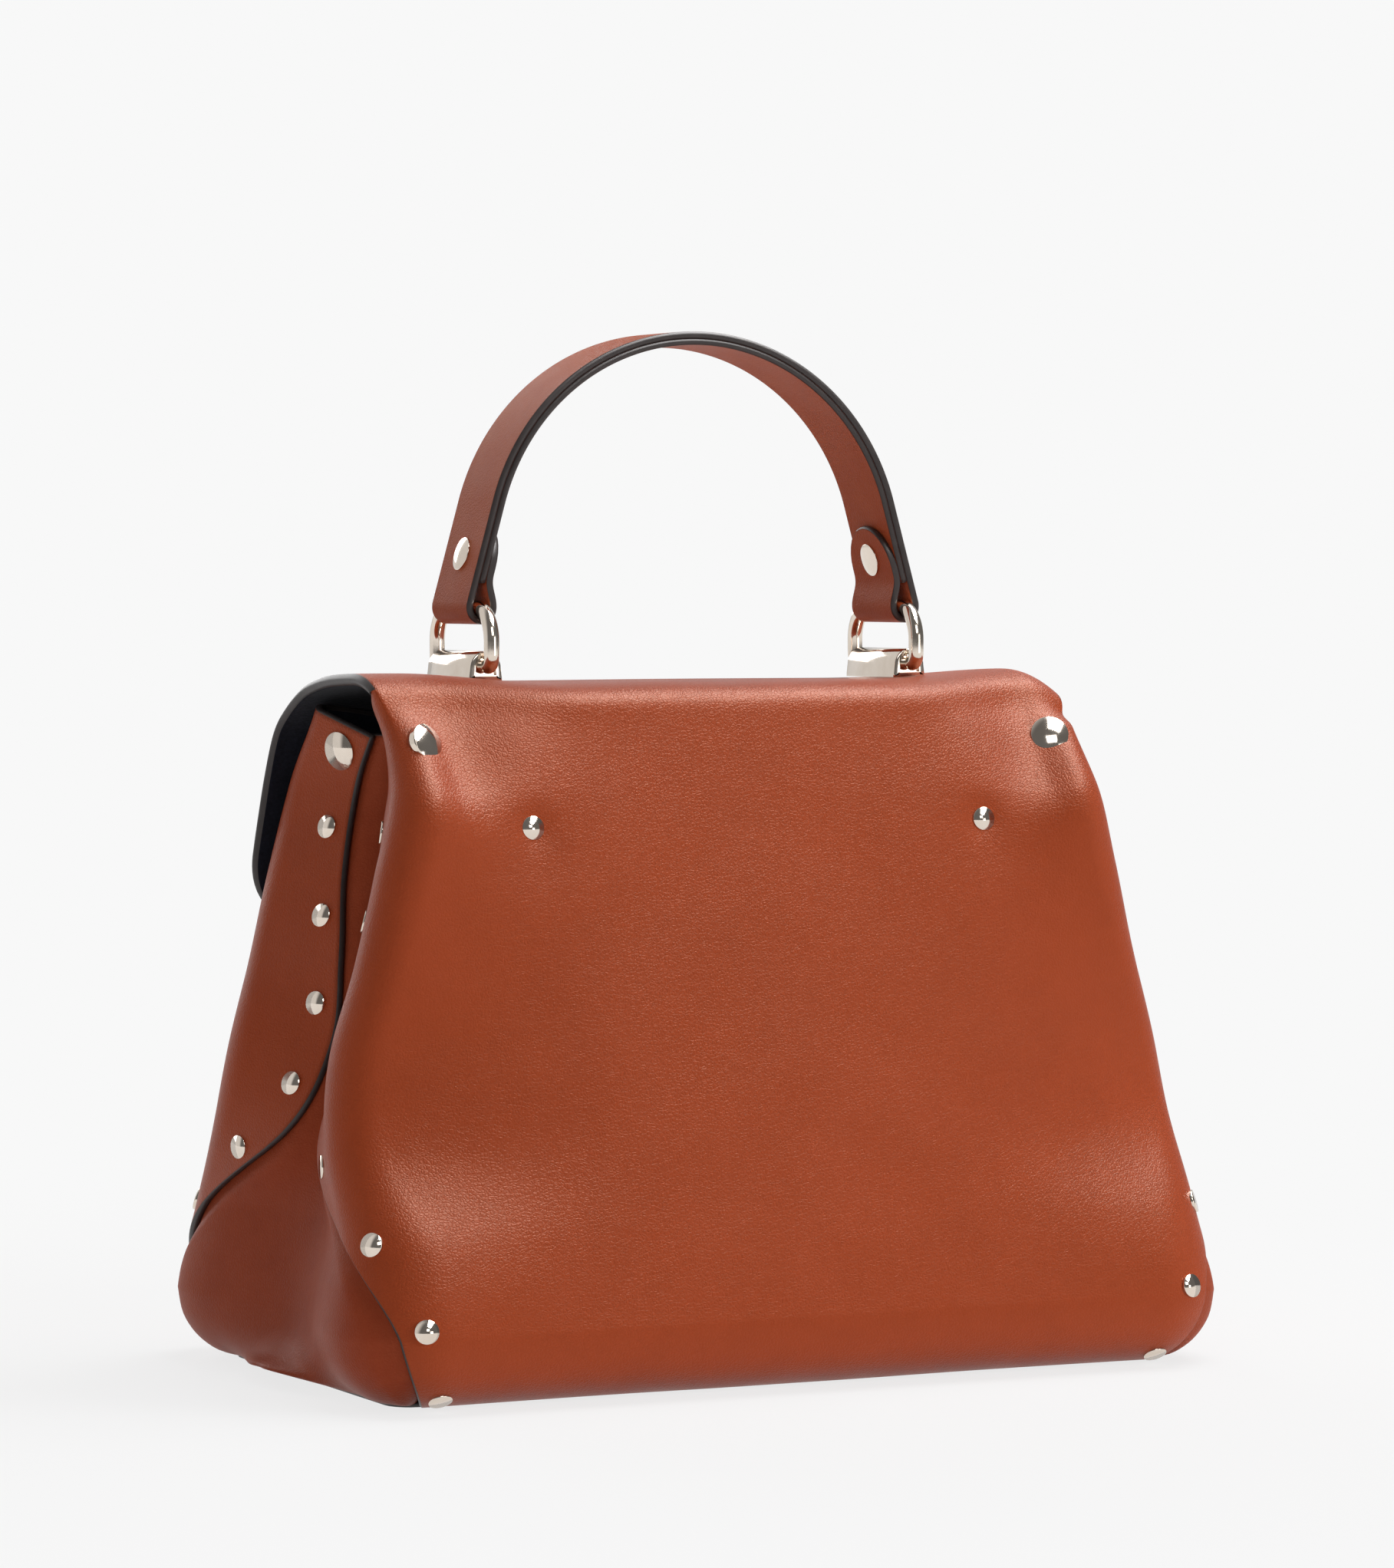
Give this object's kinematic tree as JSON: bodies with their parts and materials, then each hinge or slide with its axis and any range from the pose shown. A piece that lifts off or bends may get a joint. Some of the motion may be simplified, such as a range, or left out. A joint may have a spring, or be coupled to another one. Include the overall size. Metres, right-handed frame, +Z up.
{
  "type": "handbag",
  "caption": "Trapeze handbag with folded side gussets, studded wrap-round corners, a front flap and a top handle on swinging rings.",
  "frame": {"origin": "middle of the base, on the surface the bag stands on", "axes": "+Z up, +X towards the bag's left side as its wearer faces its flap side, -Y towards the flap's front, +Y towards the plain back"},
  "size_m": [0.2702, 0.1638, 0.294],
  "materials": {
    "body_leather": "smooth satin calf, fine natural grain",
    "gusset_leather": "softer satin calf",
    "handle_leather": "smooth satin calf with dark painted edges",
    "suede_lining": "short suede nap",
    "board": "pressed fibre board, matte",
    "nickel_hardware": "polished warm nickel"
  },
  "bodies": {
    "bag": {"base_panel": "body_leather", "back_panel": "body_leather", "front_panel": "body_leather", "gusset_left": "gusset_leather", "gusset_right": "gusset_leather", "base_stiffener": "board", "base_lining": "suede_lining", "back_lining": "suede_lining", "front_lining": "suede_lining", "gusset_lining_left": "suede_lining", "gusset_lining_right": "suede_lining", "inner_pocket": "suede_lining", "pocket_rivets": "nickel_hardware", "studs_back_left": "nickel_hardware", "studs_back_right": "nickel_hardware", "studs_front_left": "nickel_hardware", "studs_front_right": "nickel_hardware", "corner_caps_back": "nickel_hardware", "corner_caps_front": "nickel_hardware", "snap_lower": "nickel_hardware"},
    "flap": {"flap_leather": "body_leather", "flap_board": "board", "flap_lining": "suede_lining", "snap_upper": "nickel_hardware", "handle_mount_left": "nickel_hardware", "handle_mount_right": "nickel_hardware", "mount_plate_left": "nickel_hardware", "mount_plate_right": "nickel_hardware", "mount_screws_left": "nickel_hardware", "mount_screws_right": "nickel_hardware"},
    "ring_left": {"ring_left": "nickel_hardware"},
    "ring_right": {"ring_right": "nickel_hardware"},
    "handle": {"handle_strap": "handle_leather", "handle_facing": "handle_leather", "handle_rivet_left": "nickel_hardware", "handle_rivet_right": "nickel_hardware"}
  },
  "joints": [
    {"name": "flap_hinge", "type": "hinge", "parent": "bag", "child": "flap", "pos_m": [0, 0.0341, 0.186], "axis": [-1, 0, 0], "range_deg": [0, 105]},
    {"name": "ring_left_swing", "type": "hinge", "parent": "flap", "child": "ring_left", "pos_m": [-0.0672, -0.011, 0.1989], "axis": [0, 1, 0], "range_deg": [-60, 60]},
    {"name": "ring_right_swing", "type": "hinge", "parent": "flap", "child": "ring_right", "pos_m": [0.0672, -0.011, 0.1989], "axis": [0, 1, 0], "range_deg": [-60, 60]},
    {"name": "handle_pivot", "type": "hinge", "parent": "ring_left", "child": "handle", "pos_m": [-0.0672, -0.011, 0.2152], "axis": [0, 1, 0], "range_deg": [-60, 60]}
  ],
  "couplings": [
    {"joint": "ring_right_swing", "follows": "ring_left_swing", "ratio": 1},
    {"joint": "handle_pivot", "follows": "ring_left_swing", "ratio": -1}
  ]
}
